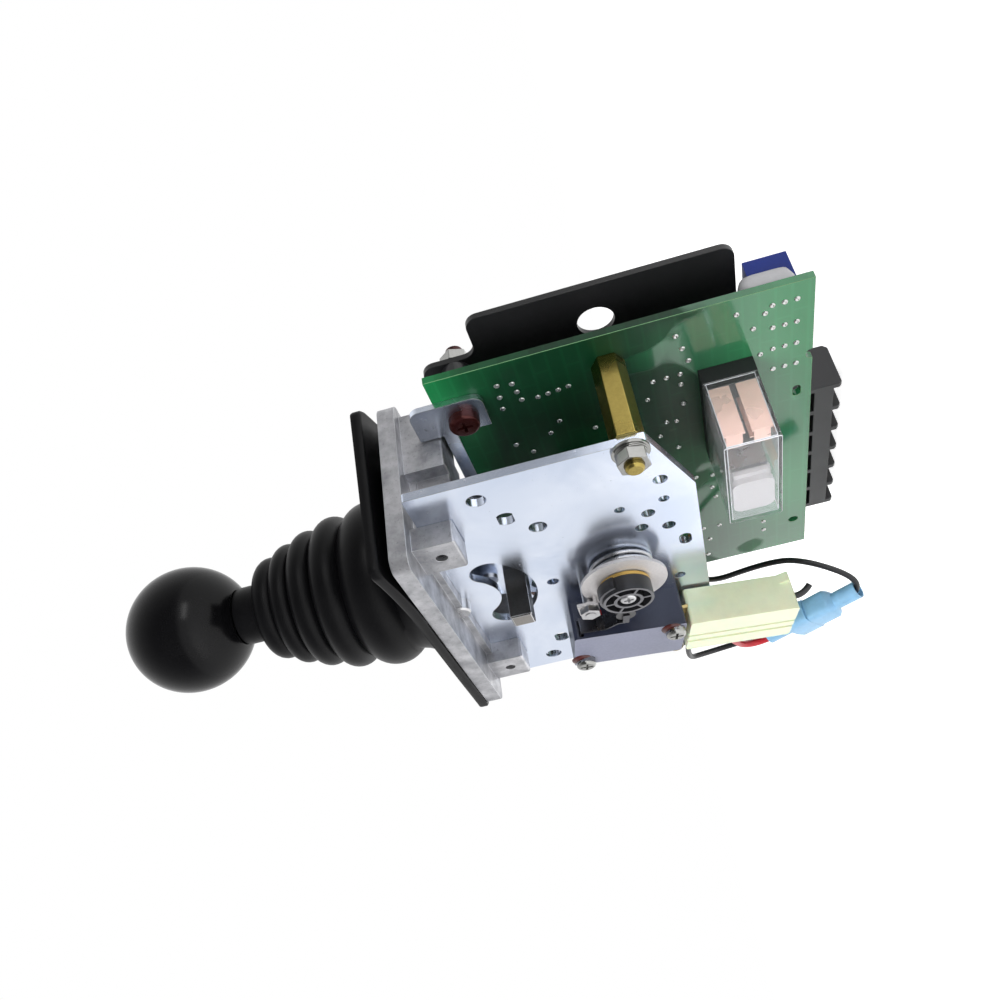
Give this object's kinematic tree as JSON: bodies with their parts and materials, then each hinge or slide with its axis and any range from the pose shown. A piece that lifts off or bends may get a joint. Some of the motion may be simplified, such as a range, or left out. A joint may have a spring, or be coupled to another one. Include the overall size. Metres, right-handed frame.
{
  "type": "industrial joystick",
  "caption": "Single-axis panel joystick: ball-knob lever in a bellows boot, die-cast flange, geared cam and micro switch on a steel side plate, control board and guard plate behind.",
  "frame": {"origin": "centre of the flange on its front, panel face", "axes": "+Z along the upright lever towards the knob, X in the lever's plane of swing, -Y out of the side plate that carries the cam and the switch"},
  "size_m": [0.1116, 0.0534, 0.1854],
  "materials": {
    "cast_grey": "rough die-cast",
    "zinc_plate": "bright zinc plate",
    "steel": "turned steel",
    "dark_steel": "black oxide",
    "red_lacquered_steel": "steel with red lacquer",
    "nickel": "nickel plate",
    "brass": "turned brass",
    "bronze": "sintered bronze",
    "copper": "copper",
    "boot_rubber": "satin moulded rubber",
    "knob_plastic": "polished",
    "black_plastic": "moulded",
    "navy_plastic": "moulded",
    "white_plastic": "moulded",
    "red_plastic": "moulded",
    "ivory_plastic": "semi-translucent nylon",
    "blue_plastic": "moulded",
    "splice_blue": "translucent",
    "clear_plastic": "clear moulding",
    "board_laminate": "coated glass laminate",
    "guard_black": "satin black",
    "wire_black": "insulation",
    "wire_red": "insulation"
  },
  "bodies": {
    "base": {"board_lead": "wire_black", "board_screws": "nickel", "board_standoffs": "brass", "boot": "boot_rubber", "circuit_board": "board_laminate", "ear_nut": "nickel", "ear_stud": "steel", "friction_disc": "zinc_plate", "friction_spring": "steel", "guard_plate": "guard_black", "guard_spacers": "black_plastic", "hex_nuts": "nickel", "mounting_flange": "cast_grey", "pivot_pin": "steel", "plate_set_screws": "dark_steel", "position_sensor": "black_plastic", "rear_strap": "zinc_plate", "red_lead": "wire_red", "relay_base": "black_plastic", "relay_blades": "copper", "relay_bobbin": "white_plastic", "relay_coil": "copper", "relay_cover": "clear_plastic", "relay_yoke": "steel", "shaft_bearing": "bronze", "side_plate": "zinc_plate", "spare_lead": "wire_black", "splice_plug": "splice_blue", "splice_socket": "splice_blue", "standoff_washers": "nickel", "strap_screws": "red_lacquered_steel", "switch_case": "navy_plastic", "switch_lead": "wire_black", "switch_screws": "nickel", "switch_tabs": "brass", "tab_housing": "ivory_plastic", "terminal_block": "black_plastic", "terminal_screws": "nickel", "trimmer_bodies": "blue_plastic", "web_screws": "steel"},
    "lever": {"lever_body": "steel", "lever_bush": "bronze", "drive_bar": "steel", "sector_gear": "zinc_plate", "sector_rivets": "steel", "ball_knob": "knob_plastic", "knob_insert": "brass"},
    "cam_rotor": {"cam_shaft": "steel", "pinion_gear": "brass", "friction_ring": "brass", "cam_drum": "black_plastic", "drum_screw": "steel"},
    "leaf": {"switch_leaf": "steel"},
    "roller": {"switch_roller": "white_plastic"},
    "plunger": {"switch_plunger": "red_plastic"},
    "armature": {"relay_armature": "white_plastic"},
    "trimmer_1": {"trimmer_screw_1": "brass"},
    "trimmer_2": {"trimmer_screw_2": "brass"},
    "trimmer_3": {"trimmer_screw_3": "brass"},
    "trimmer_4": {"trimmer_screw_4": "brass"}
  },
  "joints": [
    {"name": "lever_tilt", "type": "hinge", "parent": "base", "child": "lever", "pos_m": [0, 0, -0.0045], "axis": [0, 1, 0], "range_deg": [-30, 30], "deforming": ["boot"]},
    {"name": "cam_turn", "type": "hinge", "parent": "base", "child": "cam_rotor", "pos_m": [0, -0.012, -0.044], "axis": [0, 1, 0], "range_deg": [-96, 96]},
    {"name": "leaf_press", "type": "hinge", "parent": "base", "child": "leaf", "pos_m": [-0.01371, -0.01805, -0.03048], "axis": [0, 1, 0], "range_deg": [0, 3.5], "stiffness_Nm_per_rad": 0.1},
    {"name": "roller_spin", "type": "hinge", "parent": "leaf", "child": "roller", "pos_m": [-0.00935, -0.01805, -0.0423], "axis": [0, 1, 0], "continuous": true},
    {"name": "plunger_push", "type": "slide", "parent": "base", "child": "plunger", "axis": [-0.9839, 0, 0.1788], "range_m": [0, 0.0003]},
    {"name": "armature_pull", "type": "hinge", "parent": "base", "child": "armature", "pos_m": [0.0189, -0.0058, -0.0766], "axis": [0, 0, -1], "range_deg": [0, 3], "stiffness_Nm_per_rad": 0.02},
    {"name": "trimmer_turn_1", "type": "hinge", "parent": "base", "child": "trimmer_1", "pos_m": [0.02835, 0.0227, -0.08525], "axis": [0, 1, 0], "continuous": true},
    {"name": "trimmer_turn_2", "type": "hinge", "parent": "base", "child": "trimmer_2", "pos_m": [0.0351, 0.0227, -0.08525], "axis": [0, 1, 0], "continuous": true},
    {"name": "trimmer_turn_3", "type": "hinge", "parent": "base", "child": "trimmer_3", "pos_m": [0.04185, 0.0227, -0.08525], "axis": [0, 1, 0], "continuous": true},
    {"name": "trimmer_turn_4", "type": "hinge", "parent": "base", "child": "trimmer_4", "pos_m": [0.0486, 0.0227, -0.08525], "axis": [0, 1, 0], "continuous": true}
  ],
  "couplings": [
    {"joint": "cam_turn", "follows": "lever_tilt", "ratio": -3.1579},
    {"joint": "plunger_push", "follows": "leaf_press", "m_per_rad": 0.0047}
  ]
}
